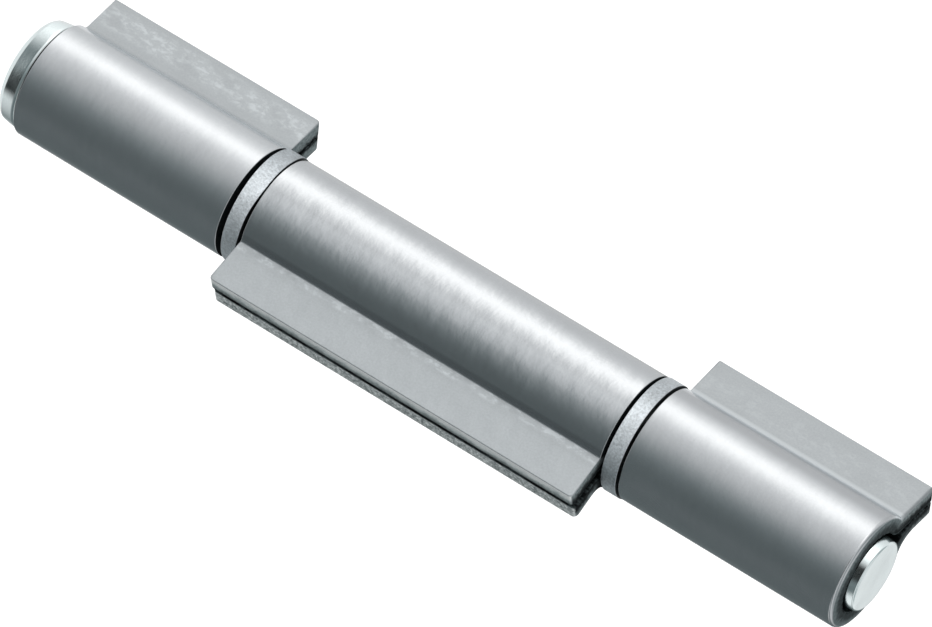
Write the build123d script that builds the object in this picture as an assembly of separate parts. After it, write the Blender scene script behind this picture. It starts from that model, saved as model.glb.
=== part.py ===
from build123d import *
from math import isclose, sqrt
import os

# Weld-on hinge with two outer leaves, a longer centre leaf, two spacer washers and one loose pin
# The pin lies along X with its head at -X, +Y is the side of the outer flanges and +Z is up
# The origin is on the pin's axis, halfway along the whole hinge, and all sizes are in millimetres

# Pin, with a flat round head and a plain tip
pin_diameter = 12.8
head_rim_width = 2.95
head_thickness = 3.5
head_rim_radius = 1.2
head_underside_chamfer = 0.3
head_seat_clearance = 0.2
tip_projection = 1.4
tip_rounding = 0.6

# Leaves, each one sheet folded round the pin into two flange plies, set off above the pin's middle
sheet_thickness = 3.0
pin_clearance = 0.6
upper_bend_radius = 0.4
lower_bend_radius = 3.5
flange_width = 6.7
flange_top = 5.0
ply_gap = 0.5
outer_leaf_length = 40.3
centre_leaf_length = 69.6

# Turn of every leaf about the pin, in degrees, that lets its flange hang a little at rest
leaf_droop = 7.5

# Edges of the sheet, rolled over outside by shearing and only broken inside
corner_radius = 0.8
rolled_edge_width = 0.25
inner_edge_width = 0.2

# Spacer washers, a little proud of the barrels
washer_thickness = 2.8
washer_overhang = 0.15
washer_bore_clearance = 0.25
washer_edge_chamfer = 0.3

# End play between the leaves and the washers
head_end_play = 0.85
centre_end_play = 0.55
tip_end_play = 0.45

pin_radius = pin_diameter / 2
bore_radius = pin_radius + pin_clearance
barrel_radius = bore_radius + sheet_thickness
flange_reach = barrel_radius + flange_width
flange_bottom = flange_top - 2 * sheet_thickness - ply_gap

# Where each piece starts along the pin, counted from the top of the head
head_leaf_start = head_thickness + head_seat_clearance
head_washer_start = head_leaf_start + outer_leaf_length + head_end_play
centre_leaf_start = head_washer_start + washer_thickness + centre_end_play
tip_washer_start = centre_leaf_start + centre_leaf_length + centre_end_play
tip_leaf_start = tip_washer_start + washer_thickness + tip_end_play
overall_length = tip_leaf_start + outer_leaf_length + tip_projection


# Section of a leaf: the barrel wraps the pin, and two reverse bends turn it out into the plies


def reverse_bend_centre(face_height, side, bend_radius):
    """Centre of the bend that runs into a flange's outer face, above it with side 1, below with -1."""
    height = face_height + side * bend_radius
    distance_from_axis = barrel_radius + bend_radius
    return Vector(sqrt(distance_from_axis**2 - height**2), height)


def short_arc(centre, radius, start, end):
    """The shorter arc about a centre, from one point to another."""
    towards_middle = (start - centre).normalized() + (end - centre).normalized()
    return ThreePointArc(start, centre + towards_middle.normalized() * radius, end)


def flange_ply(face_height, side, bend_radius):
    """Edges of one ply and its bend, with the two points where they meet the barrel and the bore."""
    centre = reverse_bend_centre(face_height, side, bend_radius)
    inner_height = face_height - side * sheet_thickness
    barrel_end = centre.normalized() * barrel_radius
    bore_end = centre.normalized() * bore_radius
    flat_start = Vector(centre.X, face_height)
    inner_flat_start = Vector(centre.X, inner_height)
    corner = Vector(flange_reach, face_height)
    inner_corner = Vector(flange_reach, inner_height)
    edges = [
        short_arc(centre, bend_radius, barrel_end, flat_start),
        Line(flat_start, corner),
        Line(corner, inner_corner),
        Line(inner_corner, inner_flat_start),
        short_arc(centre, bend_radius + sheet_thickness, inner_flat_start, bore_end),
    ]
    return edges, barrel_end, bore_end


def leaf_section():
    """The keyhole section of one folded sheet, with its flange along the sketch's first axis."""
    upper_edges, upper_barrel, upper_bore = flange_ply(flange_top, 1, upper_bend_radius)
    lower_edges, lower_barrel, lower_bore = flange_ply(flange_bottom, -1, lower_bend_radius)
    barrel = ThreePointArc(upper_barrel, Vector(-barrel_radius, 0), lower_barrel)
    bore = ThreePointArc(upper_bore, Vector(-bore_radius, 0), lower_bore)
    return make_face(upper_edges + lower_edges + [barrel, bore])


# Leaves, washers and pin


def free_corners(leaf):
    """The short upright edges at the corners of both flange plies."""
    upright = leaf.edges().filter_by(Axis.Z)
    return upright.filter_by(lambda edge: edge.center().Y > barrel_radius)


def end_arcs(leaf, radius):
    """The arcs of this radius about the pin, one at each end of a leaf."""
    arcs = leaf.edges().filter_by(GeomType.CIRCLE)
    return arcs.filter_by(lambda edge: isclose(edge.radius, radius))


def folded_leaf(start, length):
    """One hanging leaf, flange towards +Y; a chamfer on an end arc runs on along its tangent edges."""
    leaf = extrude(Plane.YZ.offset(start) * leaf_section(), amount=length)
    leaf = fillet(free_corners(leaf), corner_radius)
    leaf = chamfer(end_arcs(leaf, barrel_radius), rolled_edge_width)
    leaf = chamfer(end_arcs(leaf, bore_radius), inner_edge_width)
    return Rot(-leaf_droop, 0, 0) * leaf


def turned_leaf(start, length):
    """A leaf turned end for end in its place, so that its flange points towards -Y."""
    middle = start + length / 2
    return Pos(middle, 0, 0) * Rot(0, 0, 180) * Pos(-middle, 0, 0) * folded_leaf(start, length)


def spacer_washer(start):
    """Flat ring that turns on the pin and stands a little proud of the barrels."""
    ring = Circle(barrel_radius + washer_overhang) - Circle(pin_radius + washer_bore_clearance)
    washer = extrude(Plane.YZ.offset(start) * ring, amount=washer_thickness)
    return chamfer(washer.edges(), washer_edge_chamfer)


def headed_pin():
    """The pin, with its head's top at the start and its tip at the overall length."""
    head = extrude(Plane.YZ * Circle(pin_radius + head_rim_width), amount=head_thickness)
    head = fillet(head.edges().sort_by(Axis.X).first, head_rim_radius)
    head = chamfer(head.edges().sort_by(Axis.X).last, head_underside_chamfer)
    shank_length = overall_length - head_thickness
    shank = extrude(Plane.YZ.offset(head_thickness) * Circle(pin_radius), amount=shank_length)
    shank = fillet(shank.edges().sort_by(Axis.X).last, tip_rounding)
    return head + shank


nodes = {
    "head_end_leaf": folded_leaf(head_leaf_start, outer_leaf_length),
    "centre_leaf": turned_leaf(centre_leaf_start, centre_leaf_length),
    "tip_end_leaf": folded_leaf(tip_leaf_start, outer_leaf_length),
    "head_end_washer": spacer_washer(head_washer_start),
    "tip_end_washer": spacer_washer(tip_washer_start),
    "hinge_pin": headed_pin(),
}

os.makedirs("parts", exist_ok=True)
for name, shape in nodes.items():
    export_step(Pos(-overall_length / 2, 0, 0) * shape, f"parts/{name}.step")
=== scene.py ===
import math

import bmesh
import bpy
from mathutils import Matrix, Vector


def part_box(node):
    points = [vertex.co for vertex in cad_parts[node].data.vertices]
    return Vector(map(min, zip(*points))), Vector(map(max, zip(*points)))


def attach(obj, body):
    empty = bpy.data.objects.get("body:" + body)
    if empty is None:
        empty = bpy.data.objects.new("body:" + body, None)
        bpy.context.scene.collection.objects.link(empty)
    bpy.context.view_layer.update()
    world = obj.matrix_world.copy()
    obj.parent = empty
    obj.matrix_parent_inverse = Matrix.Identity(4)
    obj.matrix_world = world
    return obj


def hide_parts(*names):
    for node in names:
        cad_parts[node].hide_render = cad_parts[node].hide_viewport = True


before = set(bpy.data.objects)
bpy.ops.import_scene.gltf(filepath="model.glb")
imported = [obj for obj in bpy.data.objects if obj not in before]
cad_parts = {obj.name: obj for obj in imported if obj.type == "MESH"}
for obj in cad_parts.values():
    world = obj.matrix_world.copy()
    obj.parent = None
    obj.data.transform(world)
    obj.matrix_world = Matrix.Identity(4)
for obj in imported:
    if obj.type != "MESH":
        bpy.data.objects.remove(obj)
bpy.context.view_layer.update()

# All sizes are in metres, except where a comment says mm
MM = 0.001

# Camera of the photograph, found by fitting the pin's axis, the barrels and the flanges
CAMERA_PLACE = Vector((0.516014, -0.705037, 1.304475))
CAMERA_RIGHT = Vector((0.80945809, 0.58717734, -0.00061379))
CAMERA_FORWARD = Vector((-0.32742668, 0.45050851, -0.83056237))
LENS_MM = 387.014
SENSOR_MM = 36.0

# Pale floor, so far below the hinge that it takes no shadow from it
FLOOR_HEIGHT = -0.25
FLOOR_SIZE = 8.0
FLOOR_COLOUR = (0.9, 0.9, 0.9)
FLOOR_ROUGHNESS = 0.9
FLOOR_GLOW = 0.35

# Section of a leaf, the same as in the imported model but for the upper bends: one sheet round the
# bore, turned out into two plies and then let hang
SHEET = 0.003
BARREL_RADIUS = 0.010
LOWER_BEND = 0.0035
FLANGE_REACH = 0.0167
FLANGE_TOP = 0.005
FLANGE_BOTTOM = -0.0015
DROOP = math.radians(7.5)

# What differs between the leaves, which aren't quite square:
# - side: where the flange points, 1 towards +Y
# - upper_bend: radius of the bend above the flange
# - corners: how round the flange's corners are towards the head and towards the tip, as shares
# - skew: how far one ply slips past the other along the pin
# - lower_reach: how much further the lower ply reaches
# - overrun, lean and bow: how far the end towards the head and the end towards the tip are moved
#   along +X: overrun on the flange, lean on the barrel's +Y side and as far back on its -Y side,
#   and bow on both of its sides
LEAF_SHAPES = {
    "head_end_leaf": {
        "side": 1, "upper_bend": 0.0014, "corners": (0.35, 0.9),
        "skew": 0.0, "lower_reach": 0.0,
        "overrun": (0.0, 0.00012), "lean": (0.0, 0.0003), "bow": (0.0, 0.0),
    },
    "centre_leaf": {
        "side": -1, "upper_bend": 0.0003, "corners": (0.9, 0.9),
        "skew": 0.0004, "lower_reach": 0.0002,
        "overrun": (-0.0003, 0.00026), "lean": (0.0, 0.0), "bow": (0.00014, 0.0),
    },
    "tip_end_leaf": {
        "side": 1, "upper_bend": 0.0005, "corners": (0.35, 0.35),
        "skew": 0.0, "lower_reach": 0.0,
        "overrun": (0.0, 0.0003), "lean": (0.0, 0.0), "bow": (0.0, 0.0),
    },
}

# The rounding of a flange's corner and the rolled edges both lie within this much of its edges
CORNER_REACH = 0.0008

# Edges of the sheet: rolled over on the outside, most at the pin's tip and least beside its head,
# and only broken on the inside. A barrel's ends beside the washers are rolled over less than its
# flange's, and the change lies between two distances from the pin's line
ROLLED_FREE = 0.0002
ROLLED_END = 0.00035
ROLLED_TIP = 0.00076
ROLLED_BESIDE_WASHER = 0.00014
ROLLED_BESIDE_HEAD = 0.00006
ROLLED_CHANGE_FROM = 0.009
ROLLED_CHANGE_TO = 0.011
BROKEN_EDGE = 0.0001

# Fineness of the leaves' meshes
CORNER_STEPS = 6
ROUNDING_STEPS = 5
BROKEN_STEPS = 2
BARREL_STEPS = 144
BEND_STEPS = 14

# Pin, with a flat round head that draws in towards its rim and a tip that draws in a little
PIN_RADIUS = 0.0064
HEAD_RADIUS = 0.00945
HEAD_THICKNESS = 0.0035
HEAD_STRAIGHT = 0.0006
HEAD_TAPER = 0.00045
HEAD_CROWN = 0.00025
HEAD_RIM_ROUNDING = 0.0012
HEAD_FLANK_ROUNDING = 0.003
HEAD_UNDERSIDE_ROUNDING = 0.0002
TIP_TAPER = 0.0003
TIP_TAPER_INSIDE = 0.0001
TIP_TAPER_ROUNDING = 0.001
TIP_ROUNDING = 0.0004

# The loose pin lies this far off its line in Y and Z, towards the camera
PIN_SHIFT = (-0.00011, 0.00016)

# Washers: the head-end one's face towards the pin's tip bulges about a place that counts from +Y
# towards +Z, and the bulge fades over a share of its half width
WASHER_BORE_RADIUS = 0.00665
WASHER_ROUNDING = 0.0001
WASHER_BULGE = {"head_end_washer": 0.00036, "tip_end_washer": 0.0}
BULGE_MIDDLE = math.radians(80)
BULGE_HALF_WIDTH = math.radians(58)
BULGE_FADE = 0.7

# Fineness of the turned pieces' meshes: round the pin, and round a corner of their profiles
TURNED_STEPS = 160
WASHER_CORNER_STEPS = 6
PIN_CORNER_STEPS = 8

# Finish of each leaf, with lengths in mm round the sheet from near its upper free edge:
# - flange_tone_and_shade: how bright the flange is, as a share of its steel, set lower on the outer
#   leaves as painted shade
# - flange_ends: how far past the upper crease the flange's finish is full, and how far past it the
#   barrel's has taken over
# - scuffs and strip: pale scuffs of wear and a strip of painted highlight along the upper crease,
#   each a middle, a half width and an amount
# - painted_light_bands: how much lighter the sheet is painted near the upper crease, or darker
#   below 0, as painted light and shade, each a middle that counts from the crease, a half width and
#   an amount
# - brushing and mottle: how strong the marks round the barrel and its shallow dents are
# - bright_end: 1 where the shears burnished the barrel's ends
# - pale_end: depths in mm between which the flange's ends turn from pale to dark
LEAF_FINISHES = {
    "head_end_leaf": {
        "flange_tone_and_shade": 0.745, "flange_ends": (1.3, 3.2),
        "scuffs": (2.7, 3.2, 0.9), "strip": (6.5, 0.8, 0.0),
        "painted_light_bands": ((1.6, 1.4, 0.60), (3.4, 2.0, 0.42), (6.3, 3.5, 0.09)),
        "brushing": 0.25, "mottle": 0.5, "bright_end": 0.0, "pale_end": (-1.7, -2.9),
    },
    "centre_leaf": {
        "flange_tone_and_shade": 0.96, "flange_ends": (0.05, 0.35),
        "scuffs": (6.6, 1.1, 1.1), "strip": (6.5, 0.8, 0.0),
        "painted_light_bands": ((1.0, 0.9, -0.18), (2.0, 4.5, -0.13), (8.4, 2.2, 0.16), (22.6, 3.2, -0.17)),
        "brushing": 0.14, "mottle": 1.6, "bright_end": 0.0, "pale_end": (-0.5, -2.2),
    },
    "tip_end_leaf": {
        "flange_tone_and_shade": 0.745, "flange_ends": (0.45, 0.75),
        "scuffs": (3.5, 3.5, 0.25), "strip": (7.0, 0.8, 0.7),
        "painted_light_bands": ((1.2, 1.3, 0.85), (2.6, 1.3, 0.75), (4.0, 1.0, 0.20), (5.8, 2.8, -0.10)),
        "brushing": 0.25, "mottle": 0.5, "bright_end": 1.0, "pale_end": (-0.5, -2.2),
    },
}

# Steel of the barrels and flanges, and how far its textures change its tone, roughness and relief
STEEL = (0.450, 0.474, 0.492)
FLANGE_STEEL = (0.443, 0.476, 0.495)
PALE_GAIN = 1.35
MARK_TONE, CLOUD_TONE, GRAIN_TONE = 0.16, 0.05, 0.07
FLANGE_GRAIN_TONE, FLANGE_CLOUD_TONE = 0.20, 0.06
BARREL_ROUGHNESS = 0.24
FLANGE_ROUGHNESS = 0.5
ROUGHNESS_CHANGE = 0.05
MARK_RELIEF, GRAIN_RELIEF = 0.16, 0.06
RELIEF_HEIGHT = 0.05 * MM

# Borders of the walls and the leaves' ends in the edge attribute, and of the sheet's inner face in
# its depth in mm, and how far before the lower crease the flange's finish starts, in mm
WALL_BORDER = (0.72, 0.99)
END_BORDER = (0.5, 0.9)
INNER_BORDER = (-2.55, -2.85)
LOWER_FADE = 2.0

# Shades of the sheared walls, and of the sheet's inner face, painted dark as shade inside the
# barrels and between the plies and mottled with dust, each a pair from dark to pale, but for the
# burnished strip, a painted highlight at the rolled edge that darkens with depth into painted shade
# towards the groove between the plies. The depths, in mm, are those over which the strip darkens,
# the wall turns torn and a burnished end does, up to a share, and all of them wander by the ragged
# depth
UPPER_BURNISHED_AND_SHADED = ((0.98, 1.0, 1.0), (0.56, 0.62, 0.63))
UPPER_TORN = ((0.10, 0.125, 0.13), (0.34, 0.385, 0.395))
LOWER_TORN = ((0.17, 0.21, 0.22), (0.97, 1.0, 1.0))
END_TORN = ((0.006, 0.009, 0.010), (0.035, 0.044, 0.047))
END_PALE = ((0.22, 0.26, 0.27), (0.44, 0.50, 0.51))
END_BURNISHED = ((0.18, 0.22, 0.23), (0.29, 0.34, 0.35))
INNER_SHADE_AND_DUST = ((0.010, 0.012, 0.013), (0.11, 0.14, 0.145))
BURNISHED_SHADE_DEPTHS = (-0.5, -2.0)
TORN_DEPTHS = (-1.4, -2.8)
BRIGHT_END_DEPTHS = (-0.6, -2.0)
BRIGHT_END_TORN = 0.75
RAGGED_DEPTH = 1.5
WALL_ROUGHNESS = 0.55
END_ROUGHNESS = 0.95

# Noise on the sheet: features per mm along the pin, round the sheet and into it, then detail and
# roughness. The borders are the values of a noise between which its mask grows from 0 to 1
SHEET_TEXTURES = {
    "marks": ((1.1, 0.30, 0.5), 4.0, 0.6),
    "grain": ((2.8, 2.8, 2.8), 4.0, 0.7),
    "cloud": ((0.16, 0.22, 0.2), 2.0, 0.5),
    "dents": ((0.36, 0.22, 0.5), 3.0, 0.5),
    "dust": ((0.35, 1.0, 0.5), 4.0, 0.7),
    "speck": ((2.3, 2.3, 2.3), 4.0, 0.75),
    "ragged": ((0.35, 0.9, 0.4), 5.0, 0.75),
    "scuff_patches": ((0.22, 0.35, 1.0), 2.0, 0.5),
    "scuff_flecks": ((0.62, 0.95, 1.0), 4.0, 0.68),
}
SPECK_BORDER = (0.30, 0.68)
DUST_BORDER = (0.42, 0.66)
PATCH_BORDER = (0.32, 0.54)
FLECK_BORDER = (0.46, 0.62)
FLECK_AMOUNT = 0.75

# Zinc plating, where painted_gap_shade darkens the washers' faces across the pin as painted shade
# in the narrow gaps beside the leaves, and the lean turns what the plating mirrors by so many
# degrees round
# the pin: the washers are dished a little
WASHER_ZINC = {
    "colour": (0.53, 0.575, 0.605), "roughness": 0.46, "grain_amount": 0.60,
    "patch_amount": 0.25, "wave_amount": 0.4, "painted_gap_shade": 0.15, "lean": -18,
}
PIN_ZINC = {
    "colour": (0.69, 0.765, 0.775), "roughness": 0.13, "grain_amount": 0.05,
    "patch_amount": 0.05, "wave_amount": 1.2, "seam_shaded": True,
}
ZINC_ROUGHNESS_CHANGE = 0.06
ZINC_GRAIN_RELIEF = 2.4
SIDE_BORDER = (0.35, 0.85)

# Noise on the plating: features per metre along each axis, then detail and roughness
ZINC_TEXTURES = {
    "grain": ((2600, 2600, 2600), 3.0, 0.65),
    "patches": ((420, 260, 260), 3.0, 0.55),
    "wave": ((160, 160, 160), 1.0, 0.5),
    "wander": ((500, 500, 500), 2.0, 0.5),
}

# Painted shade round the top of the pin, a dark line where its head meets the leaf, but not on
# faces across the pin
SEAM_SHADE_PLACE = -0.0781
SEAM_SHADE_HALF_LENGTH = 0.00045
SEAM_SHADE_ANGLE = math.radians(5)
SEAM_SHADE_HALF_ANGLE = math.radians(65)
SEAM_SHADE_WANDER = math.radians(8)
SEAM_SHADE_AMOUNT = 0.80
SEAM_SHADE_BORDER = (0.5, 0.8)

# Studio light by angle round the pin, from straight up at 0: towards the camera's side it grows to
# 180 degrees, and away from it, it falls to -180; each stop is (angle, brightness)
STUDIO_STOPS = (
    (-180, 0.215),
    (-168, 0.28),
    (-150, 0.72),
    (-128, 0.84),
    (-100, 0.95),
    (-84, 1.06),
    (-72, 1.26),
    (-62, 1.66),
    (-54, 2.22),
    (-44, 2.55),
    (-34, 2.15),
    (-25, 1.52),
    (-15, 1.17),
    (-2, 1.07),
    (8, 0.98),
    (20, 0.78),
    (33, 0.50),
    (47, 0.33),
    (60, 0.24),
    (74, 0.20),
    (95, 0.195),
    (130, 0.205),
    (160, 0.205),
    (180, 0.215),
)

# The light's colours are shares of this brightest light, whose headroom keeps them below 1
HEADROOM = 1.05
BRIGHTEST = HEADROOM * max(brightness for _, brightness in STUDIO_STOPS)

# Towards the pin's ends the light turns even, between these shares of its direction along the pin
END_LIGHT = 1.0
HEAD_END_BORDER = (-0.41, -0.60)
TIP_END_BORDER = (0.12, 0.32)

# Flags and a pale card in front of that light, each over those before it, as
# (share along the pin, half width, angle round it, half angle, light)
FLAGS = (
    (-0.57, 0.13, 20, 75, 0.20),
    (-0.57, 0.13, 76, 44, 0.02),
    (0.72, 0.22, 0, 360, 0.50),
    (0.08, 0.20, 44, 42, 0.01),
    (-0.06, 0.12, 136, 44, 1.10),
)

# The light's colour: teal in the dark, neutral between, and a little warm where it is bright
DARK_TINT = (0.86, 1.0, 1.02)
MIDDLE_TINT = (1.0, 1.0, 1.0)
BRIGHT_TINT = (1.03, 1.0, 0.98)
DARK_BELOW, MIDDLE_AT, BRIGHT_ABOVE = 0.25, 0.80, 2.0

# The strips of light lie a little askew to the pin, so that the bright band drifts along it
STRIP_SKEW = 125 / 360
STRIP_MIDDLE = -0.328
STRIP_LIMIT = 0.15

# Share of a band's half width that is at its full strength
BAND_CORE = 0.3


# Node trees


def new_tree(owner):
    """The empty node tree of a material or world."""
    owner.use_nodes = True
    owner.node_tree.nodes.clear()
    return owner.node_tree


def add(tree, kind, values=None, **settings):
    """A new node with its settings and input values, linked where a value is a node's output."""
    made = tree.nodes.new(kind)
    for name, setting in settings.items():
        setattr(made, name, setting)
    for name, value in (values or {}).items():
        if isinstance(value, bpy.types.NodeSocket):
            tree.links.new(value, made.inputs[name])
        else:
            made.inputs[name].default_value = value
    return made


def math_node(tree, operation, first, second=0.0, third=0.0):
    """The output of one arithmetic node."""
    values = {0: first, 1: second, 2: third}
    return add(tree, "ShaderNodeMath", values, operation=operation).outputs[0]


def smooth_step(tree, value, low, high, out_low=0.0, out_high=1.0):
    """A smooth change from one number to another, as the value goes from low to high."""
    values = {
        "Value": value, "From Min": low, "From Max": high, "To Min": out_low, "To Max": out_high,
    }
    made = add(tree, "ShaderNodeMapRange", values, interpolation_type="SMOOTHSTEP")
    return made.outputs["Result"]


def band(tree, value, middle, half_width):
    """1 in the middle of a band of numbers, falling smoothly to 0 at its borders."""
    off = math_node(tree, "ABSOLUTE", math_node(tree, "SUBTRACT", value, middle))
    return smooth_step(tree, off, half_width, half_width * BAND_CORE)


def opaque(colour):
    """A colour with its fourth number, or a node's output as it is."""
    return colour if isinstance(colour, bpy.types.NodeSocket) else (*colour, 1.0)


def mix_colours(tree, share, first, second, blend="MIX"):
    """Two colours mixed by a share, where 0 is the first."""
    values = {"Factor": share, "A": opaque(first), "B": opaque(second)}
    made = add(tree, "ShaderNodeMix", values, data_type="RGBA", blend_type=blend)
    return made.outputs["Result"]


def mix_numbers(tree, share, first, second):
    """Two numbers mixed by a share, where 0 is the first."""
    values = {"Factor": share, "A": first, "B": second}
    return add(tree, "ShaderNodeMix", values, data_type="FLOAT").outputs[0]


def noise(tree, place, stretch, detail, roughness):
    """Noise from 0 to 1, with as many features per unit along each axis as stretch says."""
    scaled = add(tree, "ShaderNodeVectorMath", {0: place, 1: stretch}, operation="MULTIPLY")
    values = {"Vector": scaled.outputs[0], "Scale": 1.0, "Detail": detail, "Roughness": roughness}
    return add(tree, "ShaderNodeTexNoise", values).outputs[0]


def shifted(tree, value, middle, amount):
    """A number that swings about a middle as the noise goes from 0 to 1."""
    return math_node(tree, "MULTIPLY_ADD", value, 2.0 * amount, middle - amount)


def angle_round_pin(tree, y, z):
    """Angle from straight up, towards -Y, in radians."""
    return math_node(tree, "ARCTAN2", math_node(tree, "MULTIPLY", y, -1.0), z)


# Studio, floor and camera


def lit(brightness):
    """The light's colour at a brightness, as a share of the brightest."""
    if brightness < MIDDLE_AT:
        share = max(0.0, (brightness - DARK_BELOW) / (MIDDLE_AT - DARK_BELOW))
        pair = DARK_TINT, MIDDLE_TINT
    else:
        share = min(1.0, (brightness - MIDDLE_AT) / (BRIGHT_ABOVE - MIDDLE_AT))
        pair = MIDDLE_TINT, BRIGHT_TINT
    tint = [first + (second - first) * share for first, second in zip(*pair)]
    return [brightness * channel / BRIGHTEST for channel in tint]


def strips_of_light(tree, along, angle):
    """The light by its angle round the pin, with its strips askew to the pin."""
    share = math_node(tree, "MULTIPLY_ADD", angle, 0.5 / math.pi, 0.5)
    aside = math_node(tree, "SUBTRACT", along, STRIP_MIDDLE)
    aside = math_node(tree, "MAXIMUM", aside, -STRIP_LIMIT)
    aside = math_node(tree, "MINIMUM", aside, STRIP_LIMIT)
    share = math_node(tree, "MULTIPLY_ADD", aside, -STRIP_SKEW, share)
    ramp = add(tree, "ShaderNodeValToRGB", {"Fac": share})
    ramp.color_ramp.interpolation = "B_SPLINE"
    stops = ramp.color_ramp.elements
    stops.remove(stops[1])
    for number, (degrees, brightness) in enumerate(STUDIO_STOPS):
        stop = stops[0] if number == 0 else stops.new((degrees + 180) / 360)
        stop.color = opaque(lit(brightness))
    return ramp.outputs["Color"]


def studio_light(tree):
    """The light from every direction: strips round the pin, even light at its ends, and flags."""
    direction = add(tree, "ShaderNodeTexCoord").outputs["Generated"]
    parts = add(tree, "ShaderNodeSeparateXYZ", {"Vector": direction}).outputs
    angle = angle_round_pin(tree, parts["Y"], parts["Z"])
    colour = strips_of_light(tree, parts["X"], angle)
    head_end = smooth_step(tree, parts["X"], *HEAD_END_BORDER)
    tip_end = smooth_step(tree, parts["X"], *TIP_END_BORDER)
    end = math_node(tree, "MAXIMUM", head_end, tip_end)
    colour = mix_colours(tree, end, colour, lit(END_LIGHT))
    for middle, half_width, degrees, half_angle, light in FLAGS:
        along = band(tree, parts["X"], middle, half_width)
        around = band(tree, angle, math.radians(degrees), math.radians(half_angle))
        flag = math_node(tree, "MULTIPLY", along, around)
        colour = mix_colours(tree, flag, colour, lit(light))
    return colour


def make_studio():
    """Soft light that changes with direction, behind a white that the camera sees."""
    world = bpy.data.worlds.new("studio")
    bpy.context.scene.world = world
    tree = new_tree(world)
    values = {"Color": studio_light(tree), "Strength": BRIGHTEST}
    studio = add(tree, "ShaderNodeBackground", values)
    white = add(tree, "ShaderNodeBackground", {"Color": (1, 1, 1, 1), "Strength": 1.0})
    seen = add(tree, "ShaderNodeLightPath").outputs["Is Camera Ray"]
    both = add(tree, "ShaderNodeMixShader", {0: seen, 1: studio.outputs[0], 2: white.outputs[0]})
    add(tree, "ShaderNodeOutputWorld", {"Surface": both.outputs[0]})


def make_floor():
    """Plain pale floor."""
    material = bpy.data.materials.new("floor_paper")
    tree = new_tree(material)
    values = {
        "Base Color": opaque(FLOOR_COLOUR), "Roughness": FLOOR_ROUGHNESS,
        "Emission Color": (1, 1, 1, 1), "Emission Strength": FLOOR_GLOW,
    }
    paper = add(tree, "ShaderNodeBsdfPrincipled", values)
    add(tree, "ShaderNodeOutputMaterial", {"Surface": paper.outputs[0]})
    bpy.ops.mesh.primitive_plane_add(size=FLOOR_SIZE, location=(0, 0, FLOOR_HEIGHT))
    floor = bpy.context.active_object
    floor.name = "floor"
    floor.data.materials.append(material)
    floor.visible_glossy = False


def make_camera():
    """The photograph's camera."""
    data = bpy.data.cameras.new("camera")
    data.sensor_width = SENSOR_MM
    data.lens = LENS_MM
    data.clip_start = 0.01
    data.clip_end = 20.0
    camera = bpy.data.objects.new("camera", data)
    back = -CAMERA_FORWARD.normalized()
    right = CAMERA_RIGHT.normalized()
    up = back.cross(right)
    turned = Matrix((right, up, back)).transposed().to_4x4()
    camera.matrix_world = Matrix.Translation(CAMERA_PLACE) @ turned
    bpy.context.scene.collection.objects.link(camera)
    bpy.context.scene.camera = camera


# Shared mesh making


def finish_mesh(name, mesh, normals):
    """An object from a made mesh, with every face smooth and a worked-out normal at every point."""
    mesh.polygons.foreach_set("use_smooth", [True] * len(mesh.polygons))
    mesh.normals_split_custom_set_from_vertices(normals)
    made = bpy.data.objects.new(name, mesh)
    bpy.context.scene.collection.objects.link(made)
    return made


def mesh_from(name, points, faces):
    """A mesh with its faces turned outward."""
    shell = bmesh.new()
    corners = [shell.verts.new(point) for point in points]
    for face in faces:
        shell.faces.new([corners[number] for number in face])
    bmesh.ops.recalc_face_normals(shell, faces=shell.faces)
    mesh = bpy.data.meshes.new(name)
    shell.to_mesh(mesh)
    shell.free()
    return mesh


def store_triples(mesh, name, triples):
    """Three numbers at every point of a mesh, for its material to read."""
    layer = mesh.attributes.new(name, "FLOAT_VECTOR", "POINT")
    layer.data.foreach_set("vector", [number for triple in triples for number in triple])


def clamp(value, low=0.0, high=1.0):
    """The value, or the limit that it is past."""
    return max(low, min(high, value))


# Leaves, each one plate with rolled edges that is wrapped round the section


def bend_centre(face_height, side, radius):
    """Centre of the bend between the barrel and a flange's outer face."""
    height = face_height + side * radius
    return Vector((math.sqrt((BARREL_RADIUS + radius) ** 2 - height**2), height))


def arc_ticks(centre, radius, first, last, outward, steps):
    """Places and normals along an arc of the outer face; outward is -1 where it is hollow."""
    ticks = []
    for step in range(steps + 1):
        angle = first + (last - first) * step / steps
        direction = Vector((math.cos(angle), math.sin(angle)))
        ticks.append((centre + direction * radius, direction * outward))
    return ticks


def section_ticks(name):
    """The outer face from near the upper free edge, round the barrel, to near the lower one."""
    upper_bend = LEAF_SHAPES[name]["upper_bend"]
    upper = bend_centre(FLANGE_TOP, 1, upper_bend)
    lower = bend_centre(FLANGE_BOTTOM, -1, LOWER_BEND)
    upper_angle = math.atan2(upper.y, upper.x)
    lower_angle = math.atan2(lower.y, lower.x)
    free = FLANGE_REACH - CORNER_REACH
    ticks = [(Vector((free, FLANGE_TOP)), Vector((0, 1)))]
    ticks += arc_ticks(upper, upper_bend, -math.pi / 2, upper_angle - math.pi, -1, BEND_STEPS)
    barrel_end = 2 * math.pi + lower_angle
    ticks += arc_ticks(Vector((0, 0)), BARREL_RADIUS, upper_angle, barrel_end, 1, BARREL_STEPS)[1:]
    ticks += arc_ticks(lower, LOWER_BEND, math.pi + lower_angle, math.pi / 2, -1, BEND_STEPS)[1:]
    ticks.append((Vector((free, FLANGE_BOTTOM)), Vector((0, -1))))
    return ticks


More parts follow.
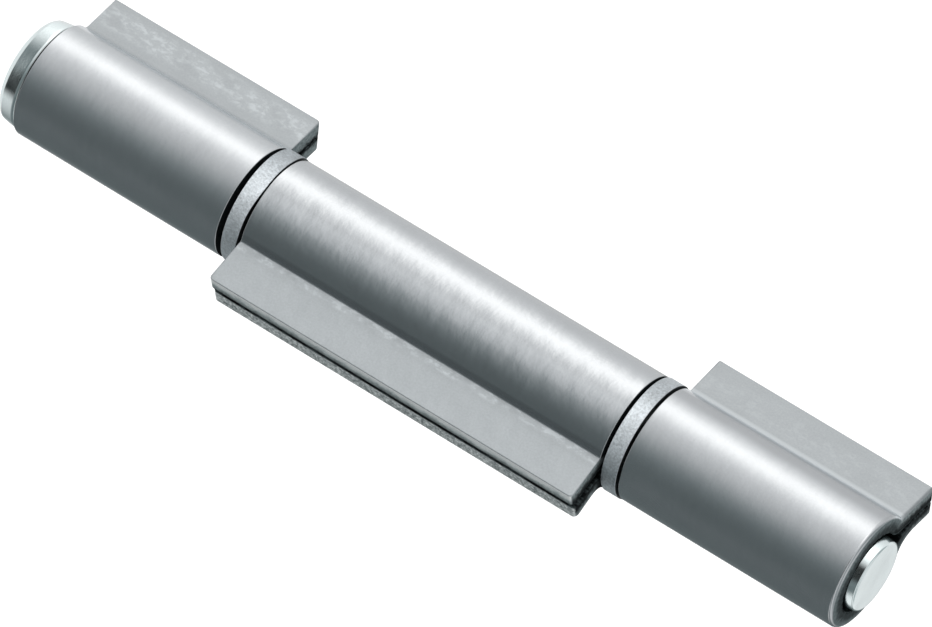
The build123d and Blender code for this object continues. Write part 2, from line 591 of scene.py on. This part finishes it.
class Plate:
    """Points of one leaf, each by x, a tick of the section, how far past it, and the depth."""

    def __init__(self, name, start, end):
        self.name, self.start, self.end = name, start, end
        self.shape = LEAF_SHAPES[name]
        self.ticks = section_ticks(name)
        self.lengths = [0.0]
        for (here, _), (there, _) in zip(self.ticks, self.ticks[1:]):
            self.lengths.append(self.lengths[-1] + (there - here).length)
        self.points, self.normals, self.sheet, self.edge = [], [], [], []

    def turn(self, across, up):
        """A direction or place in the section, in the model's Y and Z."""
        y = across * math.cos(DROOP) + up * math.sin(DROOP)
        z = up * math.cos(DROOP) - across * math.sin(DROOP)
        return self.shape["side"] * y, z

    def add_point(self, x, tick, past, depth, normal=(0, 0, 1), rim=0.0):
        """A point of the plate, with its normal along x, past the free edge and out of the sheet.

        The sheet attribute holds its place in mm. The edge attribute holds how far it is on a rim,
        how far that rim faces along the pin, and 0 at the upper free edge or 1 elsewhere.
        """
        place, out = self.ticks[tick]
        longer = self.shape["lower_reach"] if tick == len(self.ticks) - 1 else 0.0
        stretch = 1 + longer / CORNER_REACH * (1 + depth / SHEET)
        across = place.x + past * stretch + out.x * depth
        up = place.y + out.y * depth
        y, z = self.turn(across, up)
        self.points.append((x + self.slip(x, tick, y), y, z))
        ny, nz = self.turn(normal[1] + out.x * normal[2], out.y * normal[2])
        self.normals.append(Vector((normal[0], ny, nz)).normalized())
        way = -past if tick == 0 else past
        self.sheet.append((x / MM, (self.lengths[tick] + way) / MM, depth / MM))
        self.edge.append((rim, abs(normal[0]) if rim else 0.0, 0.0 if tick == 0 else 1.0))
        return len(self.points) - 1

    def slip(self, x, tick, y):
        """How far a point lies off its square place along the pin."""
        far = 1 if x > (self.start + self.end) / 2 else 0
        share = self.lengths[tick] / self.lengths[-1] - 0.5
        flat_width = FLANGE_REACH - CORNER_REACH - BARREL_RADIUS
        beyond = clamp((self.ticks[tick][0].x - BARREL_RADIUS) / flat_width)
        aside = clamp(y / BARREL_RADIUS, -1.0)
        end = self.shape["lean"][far] * aside + self.shape["bow"][far] * abs(aside)
        return self.shape["skew"] * share + self.shape["overrun"][far] * beyond + end

    def corner(self, x, tick, way):
        """Entries of the outline round a corner, from the free edge to the end this way along x."""
        share = self.shape["corners"][0 if way < 0 else 1]
        entries = []
        for step in range(CORNER_STEPS + 1):
            angle = math.pi / 2 * step / CORNER_STEPS
            along, past = way * math.sin(angle), math.cos(angle)
            place = (way + (along - way) * share, 1 + (past - 1) * share)
            entries.append((x, tick, (along, past), place))
        return entries

    def outline(self):
        """Plan of the plate, as entries of x, tick, normal and place.

        Normal and place go along x and past the free edge, the place in shares of the reach.
        """
        low, high = self.start + CORNER_REACH, self.end - CORNER_REACH
        last = len(self.ticks) - 1
        free, far, near = ((0, 1), (0, 1)), ((1, 0), (1, 0)), ((-1, 0), (-1, 0))
        loop = [(low, 0, *free), (high, 0, *free)] + self.corner(high, 0, 1)
        loop += [(high, tick, *far) for tick in range(last + 1)]
        loop += self.corner(high, last, 1)[::-1] + [(high, last, *free), (low, last, *free)]
        loop += self.corner(low, last, -1)
        loop += [(low, tick, *near) for tick in range(last, -1, -1)]
        return loop + self.corner(low, 0, -1)[::-1]

    def rolled(self, tick, along, past):
        """How far the sheet's outer edge is rolled over at a place on its outline."""
        across = self.ticks[tick][0].x - ROLLED_CHANGE_FROM
        share = clamp(across / (ROLLED_CHANGE_TO - ROLLED_CHANGE_FROM))
        end = ROLLED_BESIDE_WASHER + (ROLLED_END - ROLLED_BESIDE_WASHER) * share
        if along > 0 and self.name == "tip_end_leaf":
            end = ROLLED_TIP
        if along < 0 and self.name == "head_end_leaf":
            end = min(end, ROLLED_BESIDE_HEAD)
        return end + (ROLLED_FREE - end) * past**2

    def ring(self, outline, rolled_in, rolled_down, broken_in, depth, lean):
        """The outline, set in and down by a level; lean is the angle of its normals outward."""
        ring = []
        flat = math.cos(lean)
        for x, tick, (along, past), place in outline:
            rolled = self.rolled(tick, along, past)
            reach = CORNER_REACH - rolled * rolled_in - broken_in
            depth_here = depth - rolled * rolled_down
            normal = (along * flat, past * flat, math.sin(lean))
            x_here = x + reach * place[0]
            ring.append(self.add_point(x_here, tick, reach * place[1], depth_here, normal, flat))
        return ring


def rim_levels():
    """Levels from the outer face over the rolled edge and the wall round the broken inner edge.

    Each is the shares of the rolled edge that it is set in and down by, how far the broken edge
    sets it in, its depth, and the angle of its normals.
    """
    levels = []
    for step in range(ROUNDING_STEPS + 1):
        lean = math.pi / 2 * (1 - step / ROUNDING_STEPS)
        levels.append((1 - math.cos(lean), 1 - math.sin(lean), 0.0, 0.0, lean))
    for step in range(BROKEN_STEPS + 1):
        lean = -math.pi / 2 * step / BROKEN_STEPS
        broken_down = BROKEN_EDGE * (1 + math.sin(lean)) - SHEET
        levels.append((0.0, 0.0, BROKEN_EDGE * (1 - math.cos(lean)), broken_down, lean))
    return levels


def skin_faces(plate, ring, depth, out):
    """Faces of the plate's outer or inner face, inside its innermost ring."""
    low, high = plate.start + CORNER_REACH, plate.end - CORNER_REACH
    count = len(plate.ticks)
    near = [plate.add_point(low, tick, 0.0, depth, (0, 0, out)) for tick in range(count)]
    far = [plate.add_point(high, tick, 0.0, depth, (0, 0, out)) for tick in range(count)]

    # Where each part of the outline starts in the ring
    arc = CORNER_STEPS + 1
    high_end = 2 + arc
    lower_arc = high_end + count
    lower_side = lower_arc + arc
    low_arc = lower_side + 2
    low_end = low_arc + arc
    last_arc = low_end + count

    faces = [(ring[0], ring[1], far[0], near[0])]
    faces += [(ring[lower_side], ring[lower_side + 1], near[-1], far[-1])]
    for tick in range(count - 1):
        high_tick, low_tick = high_end + tick, low_end + tick
        faces.append((near[tick], far[tick], far[tick + 1], near[tick + 1]))
        faces.append((ring[high_tick], ring[high_tick + 1], far[tick + 1], far[tick]))
        faces.append((ring[low_tick], ring[low_tick + 1], near[-2 - tick], near[-1 - tick]))
    faces.append([far[0]] + ring[1:high_end + 1])
    faces.append([far[-1]] + ring[lower_arc - 1:lower_side + 1])
    faces.append([near[-1]] + ring[low_arc - 1:low_end + 1])
    faces.append([near[0]] + ring[last_arc - 1:last_arc + arc] + [ring[0]])
    return faces


def make_leaf(name, finish):
    """A leaf that stands for its CAD node."""
    low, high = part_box(name)
    plate = Plate(name, low[0], high[0])
    outline = plate.outline()
    rings = [plate.ring(outline, *level) for level in rim_levels()]
    faces = []
    for outer, inner in zip(rings, rings[1:]):
        for number in range(len(outer)):
            after = (number + 1) % len(outer)
            faces.append((outer[number], outer[after], inner[after], inner[number]))
    faces += skin_faces(plate, rings[0], 0.0, 1)
    faces += skin_faces(plate, rings[-1], -SHEET, -1)
    mesh = mesh_from(name + "_formed", plate.points, faces)
    store_triples(mesh, "sheet", plate.sheet)
    store_triples(mesh, "edge", plate.edge)
    leaf = finish_mesh(name + "_formed", mesh, plate.normals)
    mesh.materials.append(finish)
    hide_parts(name)
    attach(leaf, name)


# Turned pieces, each a profile swept round the pin's axis


def rounded_profile(corners, steps):
    """Points and normals of a profile round corners of (x, radius, rounding), without its ends."""
    points = []
    for before, here, after in zip(corners, corners[1:], corners[2:]):
        corner = Vector(here[:2])
        back = (Vector(before[:2]) - corner).normalized()
        ahead = (Vector(after[:2]) - corner).normalized()
        half = back.angle(ahead) / 2
        reach = here[2] / math.tan(half)
        centre = corner + (back + ahead).normalized() * here[2] / math.sin(half)
        first = (corner + back * reach - centre).normalized()
        last = (corner + ahead * reach - centre).normalized()
        hollow = first.cross(last) > 0
        for step in range(steps + 1):
            direction = first.slerp(last, step / steps)
            points.append((centre + direction * here[2], -direction if hollow else direction))
    return points


def bulge_share(angle):
    """1 in the middle of the washers' bulge, falling smoothly to 0 at its borders."""
    inside = BULGE_HALF_WIDTH - abs(angle - BULGE_MIDDLE)
    share = clamp(inside / (BULGE_HALF_WIDTH * BULGE_FADE))
    return share * share * (3 - 2 * share)


def make_turned(name, profile, closed, finish, shift=(0.0, 0.0), bulge=0.0):
    """A turned piece that stands for its CAD node.

    It is shifted in Y and Z within its play, and its half towards the pin's tip bulges that way.
    """
    points, normals, faces = [], [], []
    low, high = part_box(name)
    middle = (low[0] + high[0]) / 2
    for place, normal in profile:
        for step in range(TURNED_STEPS):
            angle = 2 * math.pi * step / TURNED_STEPS
            across, up = math.cos(angle), math.sin(angle)
            x = place.x + (bulge * bulge_share(angle) if place.x > middle else 0.0)
            points.append((x, place.y * across + shift[0], place.y * up + shift[1]))
            normals.append((normal.x, normal.y * across, normal.y * up))
    rings = len(profile)
    for ring in range(rings if closed else rings - 1):
        for step in range(TURNED_STEPS):
            here, there = ring * TURNED_STEPS, (ring + 1) % rings * TURNED_STEPS
            after = (step + 1) % TURNED_STEPS
            faces.append((here + step, here + after, there + after, there + step))
    if not closed:
        faces.append(range(TURNED_STEPS))
        faces.append(range((rings - 1) * TURNED_STEPS, rings * TURNED_STEPS))
    mesh = mesh_from(name + "_turned", points, faces)
    piece = finish_mesh(name + "_turned", mesh, normals)
    mesh.materials.append(finish)
    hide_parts(name)
    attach(piece, name)


def washer_profile(name):
    """Closed profile of a washer, round its four broken corners."""
    low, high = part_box(name)
    corners = [
        (low[0], WASHER_BORE_RADIUS, WASHER_ROUNDING),
        (low[0], high[2], WASHER_ROUNDING),
        (high[0], high[2], WASHER_ROUNDING),
        (high[0], WASHER_BORE_RADIUS, WASHER_ROUNDING),
    ]
    return rounded_profile([corners[-1]] + corners + [corners[0]], WASHER_CORNER_STEPS)


def pin_profile():
    """Head that draws in towards its rounded rim, and a plain shank that draws in at its tip."""
    low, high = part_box("hinge_pin")
    under_head = low[0] + HEAD_THICKNESS
    leaf_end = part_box("tip_end_leaf")[1][0]
    crown = low[0] - HEAD_CROWN
    corners = [
        (crown, 0.0, 0.0),
        (crown, HEAD_RADIUS - HEAD_TAPER, HEAD_RIM_ROUNDING),
        (under_head - HEAD_STRAIGHT, HEAD_RADIUS, HEAD_FLANK_ROUNDING),
        (under_head, HEAD_RADIUS, HEAD_UNDERSIDE_ROUNDING),
        (under_head, PIN_RADIUS, HEAD_UNDERSIDE_ROUNDING),
        (leaf_end - TIP_TAPER_INSIDE, PIN_RADIUS, TIP_TAPER_ROUNDING),
        (high[0], PIN_RADIUS - TIP_TAPER, TIP_ROUNDING),
        (high[0], 0.0, 0.0),
    ]
    return rounded_profile(corners, PIN_CORNER_STEPS)


# Bare steel of the leaves


def crease_places(name):
    """Where the upper and lower creases are, in mm round the sheet from near its upper edge."""
    ticks = section_ticks(name)
    length = sum((there - here).length for (here, _), (there, _) in zip(ticks, ticks[1:]))
    first_flat = (ticks[1][0] - ticks[0][0]).length
    last_flat = (ticks[-1][0] - ticks[-2][0]).length
    return first_flat / MM, (length - last_flat) / MM


class SheetReader:
    """What a leaf's material reads at a point: its place in mm, masks from 0 to 1, and noises."""

    def __init__(self, tree, name, flange_ends, bright_end):
        self.tree = tree
        self.sheet = add(tree, "ShaderNodeAttribute", attribute_name="sheet").outputs["Vector"]
        edge = add(tree, "ShaderNodeAttribute", attribute_name="edge").outputs["Vector"]
        place = add(tree, "ShaderNodeSeparateXYZ", {"Vector": self.sheet}).outputs
        mask = add(tree, "ShaderNodeSeparateXYZ", {"Vector": edge}).outputs
        self.around, self.depth = place["Y"], place["Z"]
        self.upper_crease, lower_crease = crease_places(name)
        full, gone = flange_ends
        upper = smooth_step(tree, self.around, self.upper_crease + gone, self.upper_crease + full)
        lower = smooth_step(tree, self.around, lower_crease - LOWER_FADE, lower_crease)
        self.flange = math_node(tree, "MAXIMUM", upper, lower)
        self.wall = smooth_step(tree, mask["X"], *WALL_BORDER)
        self.end = smooth_step(tree, mask["Y"], *END_BORDER)
        self.below_top = mask["Z"]
        self.inner = smooth_step(tree, self.depth, *INNER_BORDER)
        barrel = math_node(tree, "SUBTRACT", 1.0, self.flange)
        self.bright = math_node(tree, "MULTIPLY", barrel, bright_end)
        self.marks, self.grain = self.texture("marks"), self.texture("grain")

    def texture(self, name):
        """One of the sheet's noises."""
        return noise(self.tree, self.sheet, *SHEET_TEXTURES[name])


def wall_colour(at, pale_end):
    """Sheared walls: a painted highlight near the rolled edge, darkening into painted shade deeper,
    where they are torn and speckled, and darkest on the ends.
    """
    tree = at.tree
    speck = smooth_step(tree, at.texture("speck"), *SPECK_BORDER)
    wander = shifted(tree, at.texture("ragged"), 0.0, RAGGED_DEPTH)
    ragged = math_node(tree, "ADD", at.depth, wander)
    # The upper wall's burnished strip: a painted highlight at the rolled edge that darkens with
    # depth into painted shade towards the groove between the plies
    strip = mix_colours(tree, smooth_step(tree, ragged, *BURNISHED_SHADE_DEPTHS), *UPPER_BURNISHED_AND_SHADED)
    torn = mix_colours(tree, speck, *UPPER_TORN)
    upper = mix_colours(tree, smooth_step(tree, ragged, *TORN_DEPTHS), strip, torn)
    lower = mix_colours(tree, speck, *LOWER_TORN)
    side = mix_colours(tree, at.below_top, upper, lower)
    end_torn = mix_colours(tree, speck, *END_TORN)
    end_pale = mix_colours(tree, speck, *END_PALE)
    end_flange = mix_colours(tree, smooth_step(tree, ragged, *pale_end), end_pale, end_torn)
    end_torn = mix_colours(tree, at.flange, end_torn, end_flange)
    end_burnished = mix_colours(tree, speck, *END_BURNISHED)
    bright_torn = smooth_step(tree, ragged, *BRIGHT_END_DEPTHS, 0.0, BRIGHT_END_TORN)
    torn_share = mix_numbers(tree, at.bright, 1.0, bright_torn)
    end = mix_colours(tree, torn_share, end_burnished, end_torn)
    return mix_colours(tree, at.end, side, end)


def scuff_mask(at, middle, half_width, amount):
    """Short pale scuffs that lie in a band along the flange."""
    tree = at.tree
    patches = smooth_step(tree, at.texture("scuff_patches"), *PATCH_BORDER)
    flecks = smooth_step(tree, at.texture("scuff_flecks"), *FLECK_BORDER)
    flecks = math_node(tree, "MULTIPLY_ADD", flecks, FLECK_AMOUNT, 1 - FLECK_AMOUNT)
    spread = math_node(tree, "MULTIPLY", patches, flecks)
    spread = math_node(tree, "MULTIPLY", spread, band(tree, at.around, middle, half_width))
    return math_node(tree, "MULTIPLY", spread, amount)


def skin_colour(at, flange_tone_and_shade, scuffs, strip, painted_light_bands, brushing):
    """The outer face: satin barrel, duller flange with scuffs, painted shade on the outer leaves'
    flanges, a strip of painted highlight, and bands of painted light and shade near the crease.
    """
    tree = at.tree
    cloud = at.texture("cloud")
    tone = shifted(tree, at.marks, 1.0, MARK_TONE * brushing)
    tone = math_node(tree, "MULTIPLY", tone, shifted(tree, cloud, 1.0, CLOUD_TONE))
    tone = math_node(tree, "MULTIPLY", tone, shifted(tree, at.grain, 1.0, GRAIN_TONE))
    barrel = mix_colours(tree, 1.0, STEEL, tone, "MULTIPLY")
    flange_grain = shifted(tree, at.grain, 1.0, FLANGE_GRAIN_TONE)
    flange_cloud = shifted(tree, cloud, 1.0, FLANGE_CLOUD_TONE)
    flange_shade = math_node(tree, "MULTIPLY", flange_grain, flange_cloud)
    # flange_tone_and_shade sets the outer leaves' flanges darker than the centre one's, as painted
    # shade
    base = [channel * flange_tone_and_shade for channel in FLANGE_STEEL]
    flat = mix_colours(tree, 1.0, base, flange_shade, "MULTIPLY")
    # Pale scuffs of wear, and a strip of painted highlight along the upper crease
    middle, half_width, amount = strip
    painted_highlight_strip = math_node(tree, "MULTIPLY", band(tree, at.around, middle, half_width), amount)
    pale = math_node(tree, "MAXIMUM", scuff_mask(at, *scuffs), painted_highlight_strip)
    flat = mix_colours(tree, pale, flat, [channel * PALE_GAIN for channel in base])
    skin = mix_colours(tree, at.flange, barrel, flat)
    # Bands of painted light and shade near the upper crease
    painted_light_tone = 1.0
    for middle, half_width, amount in painted_light_bands:
        near = band(tree, at.around, at.upper_crease + middle, half_width)
        painted_light_tone = math_node(tree, "MULTIPLY_ADD", near, amount, painted_light_tone)
    return mix_colours(tree, 1.0, skin, painted_light_tone, "MULTIPLY")


def steel_roughness(at, brushing):
    """Satin on the barrel, duller on the flange, and dull on the walls and the inner face."""
    tree = at.tree
    barrel = shifted(tree, at.marks, BARREL_ROUGHNESS, ROUGHNESS_CHANGE * brushing)
    flange = shifted(tree, at.grain, FLANGE_ROUGHNESS, ROUGHNESS_CHANGE)
    skin = mix_numbers(tree, at.flange, barrel, flange)
    torn = mix_numbers(tree, at.end, WALL_ROUGHNESS, END_ROUGHNESS)
    return mix_numbers(tree, math_node(tree, "MAXIMUM", at.wall, at.inner), skin, torn)


def steel_relief(at, brushing, mottle):
    """Fine marks round the barrel, grain and shallow dents, as a normal."""
    tree = at.tree
    relief = math_node(tree, "MULTIPLY", at.grain, GRAIN_RELIEF)
    relief = math_node(tree, "MULTIPLY_ADD", at.marks, MARK_RELIEF * brushing, relief)
    relief = math_node(tree, "MULTIPLY_ADD", at.texture("dents"), mottle, relief)
    values = {"Height": relief, "Distance": RELIEF_HEIGHT, "Strength": 1.0}
    return add(tree, "ShaderNodeBump", values).outputs["Normal"]


def make_bare_steel(name, flange_ends, bright_end, pale_end, mottle, **skin):
    """Cold-rolled sheet of one leaf, with the finish that LEAF_FINISHES explains."""
    material = bpy.data.materials.new(name + "_steel")
    tree = new_tree(material)
    at = SheetReader(tree, name, flange_ends, bright_end)
    colour = mix_colours(tree, at.wall, skin_colour(at, **skin), wall_colour(at, pale_end))
    # The inner face: painted dark as shade inside the barrels and between the plies, mottled with
    # dust
    dust = smooth_step(tree, at.texture("dust"), *DUST_BORDER)
    colour = mix_colours(tree, at.inner, colour, mix_colours(tree, dust, *INNER_SHADE_AND_DUST))
    brushing = skin["brushing"]
    values = {
        "Base Color": colour, "Metallic": 1.0,
        "Roughness": steel_roughness(at, brushing), "Normal": steel_relief(at, brushing, mottle),
    }
    shader = add(tree, "ShaderNodeBsdfPrincipled", values)
    add(tree, "ShaderNodeOutputMaterial", {"Surface": shader.outputs[0]})
    return material


# Zinc plating of the pin and the washers


def seam_shade_tone(tree, place, along):
    """Plating's tone left by the painted line of shade where the head meets the leaf; along is how
    far a face looks along the pin.
    """
    parts = add(tree, "ShaderNodeSeparateXYZ", {"Vector": place}).outputs
    angle = angle_round_pin(tree, parts["Y"], parts["Z"])
    wander = noise(tree, place, *ZINC_TEXTURES["wander"])
    angle = math_node(tree, "ADD", angle, shifted(tree, wander, 0.0, SEAM_SHADE_WANDER))
    spot = band(tree, parts["X"], SEAM_SHADE_PLACE, SEAM_SHADE_HALF_LENGTH)
    around = band(tree, angle, SEAM_SHADE_ANGLE, SEAM_SHADE_HALF_ANGLE)
    spot = math_node(tree, "MULTIPLY", spot, around)
    kept = math_node(tree, "MULTIPLY_ADD", spot, -SEAM_SHADE_AMOUNT, 1.0)
    return mix_numbers(tree, smooth_step(tree, along, *SEAM_SHADE_BORDER), kept, 1.0)


def make_zinc(
    name, colour, roughness, grain_amount, patch_amount, wave_amount,
    painted_gap_shade=None, lean=None, seam_shaded=False,
):
    """Zinc plating: fine crystalline grain on a surface that waves a little, bright in patches."""
    material = bpy.data.materials.new(name)
    tree = new_tree(material)
    place = add(tree, "ShaderNodeTexCoord").outputs["Object"]
    grain = noise(tree, place, *ZINC_TEXTURES["grain"])
    patches = noise(tree, place, *ZINC_TEXTURES["patches"])
    wave = noise(tree, place, *ZINC_TEXTURES["wave"])
    normal = add(tree, "ShaderNodeNewGeometry").outputs["Normal"]
    along = add(tree, "ShaderNodeSeparateXYZ", {"Vector": normal}).outputs["X"]
    along = math_node(tree, "ABSOLUTE", along)

    tone = shifted(tree, grain, 1.0, grain_amount)
    tone = math_node(tree, "MULTIPLY", tone, shifted(tree, patches, 1.0, patch_amount))
    # The washers' faces across the pin, darkened as painted shade in the gaps beside the leaves
    if painted_gap_shade is not None:
        side = smooth_step(tree, along, *SIDE_BORDER, 1.0, painted_gap_shade)
        tone = math_node(tree, "MULTIPLY", tone, side)
    # Painted shade: a dark line round the pin where its head meets the leaf
    if seam_shaded:
        tone = math_node(tree, "MULTIPLY", tone, seam_shade_tone(tree, place, along))
    base = mix_colours(tree, 1.0, colour, tone, "MULTIPLY")

    if lean is not None:
        leaning = {"Vector": normal, "Angle": math.radians(lean)}
        normal = add(tree, "ShaderNodeVectorRotate", leaning, rotation_type="X_AXIS").outputs[0]
    relief = math_node(tree, "MULTIPLY", wave, wave_amount)
    relief = math_node(tree, "MULTIPLY_ADD", grain, ZINC_GRAIN_RELIEF * grain_amount, relief)
    values = {"Height": relief, "Distance": RELIEF_HEIGHT, "Strength": 1.0, "Normal": normal}
    bump = add(tree, "ShaderNodeBump", values)
    rough = shifted(tree, patches, roughness, ZINC_ROUGHNESS_CHANGE)
    values = {
        "Base Color": base, "Metallic": 1.0,
        "Roughness": rough, "Normal": bump.outputs["Normal"],
    }
    shader = add(tree, "ShaderNodeBsdfPrincipled", values)
    add(tree, "ShaderNodeOutputMaterial", {"Surface": shader.outputs[0]})
    return material


def make_pieces():
    """The finely formed pieces that stand for the CAD nodes."""
    for name, finish in LEAF_FINISHES.items():
        make_leaf(name, make_bare_steel(name, **finish))
    washer_zinc = make_zinc("zinc_plated_washer", **WASHER_ZINC)
    pin_zinc = make_zinc("zinc_plated_pin", **PIN_ZINC)
    for name, bulge in WASHER_BULGE.items():
        profile = washer_profile(name)
        make_turned(name, profile, True, washer_zinc, bulge=bulge)
    make_turned("hinge_pin", pin_profile(), False, pin_zinc, PIN_SHIFT)


bpy.context.scene.view_settings.view_transform = "Standard"
make_camera()
make_studio()
make_floor()
make_pieces()
